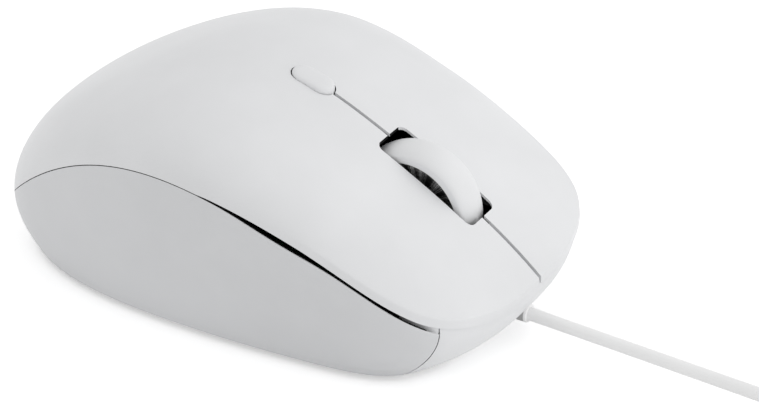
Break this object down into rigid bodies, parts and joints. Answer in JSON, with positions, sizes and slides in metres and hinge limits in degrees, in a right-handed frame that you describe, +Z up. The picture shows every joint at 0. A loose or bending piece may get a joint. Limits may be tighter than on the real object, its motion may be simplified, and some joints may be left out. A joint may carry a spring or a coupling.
{
  "type": "computer mouse",
  "caption": "Low symmetrical corded optical mouse with flexing keys, a pressable scroll wheel, a pill button behind it and a thin cable that ends in a flat plug.",
  "frame": {"origin": "on the table under the middle of the body, without its cable", "axes": "+Y towards the end that the cable leaves, +X to the mouse's right, +Z up"},
  "size_m": [0.0647, 0.1913, 0.0402],
  "materials": {
    "white_shell": "fine satin moulded plastic, white",
    "side_shell": "fine satin moulded plastic, pale grey",
    "wheel_rubber": "smooth white rubber",
    "black_plastic": "glossy black plastic",
    "steel": "plain bright steel",
    "board": "green solder mask",
    "clear_lens": "clear moulded lens",
    "cable_sheath": "soft white cable sheath",
    "skate": "slippery white skate"
  },
  "bodies": {
    "case": {"bottom_case": "white_shell", "palm_cover": "white_shell", "right_side_panel": "side_shell", "left_side_panel": "side_shell", "carrier_bracket": "black_plastic", "carrier_pin": "steel", "carrier_spring": "steel", "circuit_board": "board", "right_switch": "black_plastic", "left_switch": "black_plastic", "middle_switch": "black_plastic", "dpi_switch": "black_plastic", "encoder_emitter": "black_plastic", "encoder_detector": "black_plastic", "optical_sensor": "black_plastic", "sensor_lens": "clear_lens", "illumination_led": "clear_lens", "cable_socket": "white_shell", "cable_plug": "white_shell", "inner_cable": "cable_sheath", "cable_grommet": "cable_sheath", "cable": "cable_sheath", "cable_coil": "cable_sheath", "cable_tail": "cable_sheath", "cable_tie": "cable_sheath", "usb_overmould": "cable_sheath", "usb_shell": "steel", "usb_tongue": "white_shell", "right_case_screw": "steel", "left_case_screw": "steel", "right_board_screw": "steel", "left_board_screw": "steel", "front_skate": "skate", "rear_skate": "skate"},
    "right_key": {"right_button": "white_shell"},
    "left_key": {"left_button": "white_shell"},
    "pill": {"dpi_button": "white_shell"},
    "carrier": {"wheel_carrier": "black_plastic", "wheel_axle": "steel"},
    "wheel": {"wheel_hub": "black_plastic", "wheel_tyre": "wheel_rubber"},
    "right_switch_plunger": {"right_plunger": "white_shell"},
    "left_switch_plunger": {"left_plunger": "white_shell"},
    "middle_switch_plunger": {"middle_plunger": "white_shell"},
    "dpi_switch_plunger": {"dpi_plunger": "white_shell"}
  },
  "joints": [
    {"name": "right_click", "type": "hinge", "parent": "case", "child": "right_key", "pos_m": [0, 0.0122, 0.03166], "axis": [-1, 0, 0], "range_deg": [0, 0.6], "stiffness_Nm_per_rad": 0.8, "springref_deg": -1.15},
    {"name": "left_click", "type": "hinge", "parent": "case", "child": "left_key", "pos_m": [0, 0.0122, 0.03166], "axis": [-1, 0, 0], "range_deg": [0, 0.6], "stiffness_Nm_per_rad": 0.8, "springref_deg": -1.15},
    {"name": "dpi_press", "type": "slide", "parent": "case", "child": "pill", "axis": [0, 0, -1], "range_m": [0, 0.0004], "stiffness_N_per_m": 900, "springref_m": -0.0004},
    {"name": "wheel_press", "type": "hinge", "parent": "case", "child": "carrier", "pos_m": [0, 0.0125, 0.0155], "axis": [-1, 0, 0], "range_deg": [0, 1.6], "stiffness_Nm_per_rad": 0.6, "springref_deg": -1.15, "deforming": ["carrier_spring"]},
    {"name": "wheel_spin", "type": "hinge", "parent": "carrier", "child": "wheel", "pos_m": [0, 0.0265, 0.02], "axis": [1, 0, 0], "continuous": true},
    {"name": "right_plunger_travel", "type": "slide", "parent": "case", "child": "right_switch_plunger", "axis": [0, 0, -1], "range_m": [0, 0.0004]},
    {"name": "left_plunger_travel", "type": "slide", "parent": "case", "child": "left_switch_plunger", "axis": [0, 0, -1], "range_m": [0, 0.0004]},
    {"name": "middle_plunger_travel", "type": "slide", "parent": "case", "child": "middle_switch_plunger", "axis": [0, 0, -1], "range_m": [0, 0.0007]},
    {"name": "dpi_plunger_travel", "type": "slide", "parent": "case", "child": "dpi_switch_plunger", "axis": [0, 0, -1], "range_m": [0, 0.0005]}
  ],
  "couplings": [
    {"joint": "right_plunger_travel", "follows": "right_click", "m_per_rad": 0.0238},
    {"joint": "left_plunger_travel", "follows": "left_click", "m_per_rad": 0.0238},
    {"joint": "middle_plunger_travel", "follows": "wheel_press", "m_per_rad": 0.0205},
    {"joint": "dpi_plunger_travel", "follows": "dpi_press", "ratio": 1}
  ]
}
